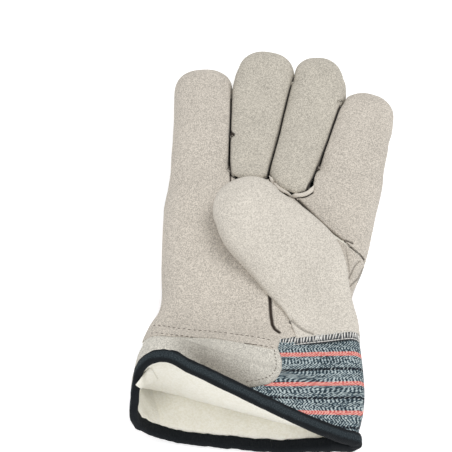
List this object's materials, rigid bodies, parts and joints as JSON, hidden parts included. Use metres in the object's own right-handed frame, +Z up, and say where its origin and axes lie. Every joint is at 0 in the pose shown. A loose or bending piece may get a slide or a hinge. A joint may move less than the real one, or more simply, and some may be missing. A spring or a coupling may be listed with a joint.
{
  "type": "lined work glove",
  "caption": "Right-hand work glove lying palm up: suede palm, striped twill back and flared cuff, knuckle strap, bound rim, fleece lining.",
  "frame": {"origin": "middle of the bounding box, on the surface that the glove lies on", "axes": "+Y from the cuff to the fingertips, +Z up out of the palm, +X towards the index finger's side"},
  "size_m": [0.1586, 0.265, 0.0668],
  "materials": {
    "palm_leather": "split suede",
    "finger_leather": "split suede",
    "thumb_leather": "split suede",
    "back_leather": "split suede",
    "cuff_leather": "split suede",
    "hand_twill": "striped twill",
    "cuff_twill": "striped twill",
    "binding_tape": "woven tape",
    "lining_fleece": "brushed fleece"
  },
  "bodies": {
    "root": {"palm": "palm_leather", "ring_front": "finger_leather", "middle_front": "finger_leather", "thumb": "thumb_leather", "thumb_gusset": "thumb_leather", "index_back": "back_leather", "tip_little": "back_leather", "tip_ring": "back_leather", "tip_middle": "back_leather", "hand_back": "hand_twill", "knuckle_strap": "back_leather", "cuff": "cuff_twill", "cuff_patch": "cuff_leather", "binding": "binding_tape", "lining": "lining_fleece"}
  },
  "joints": []
}
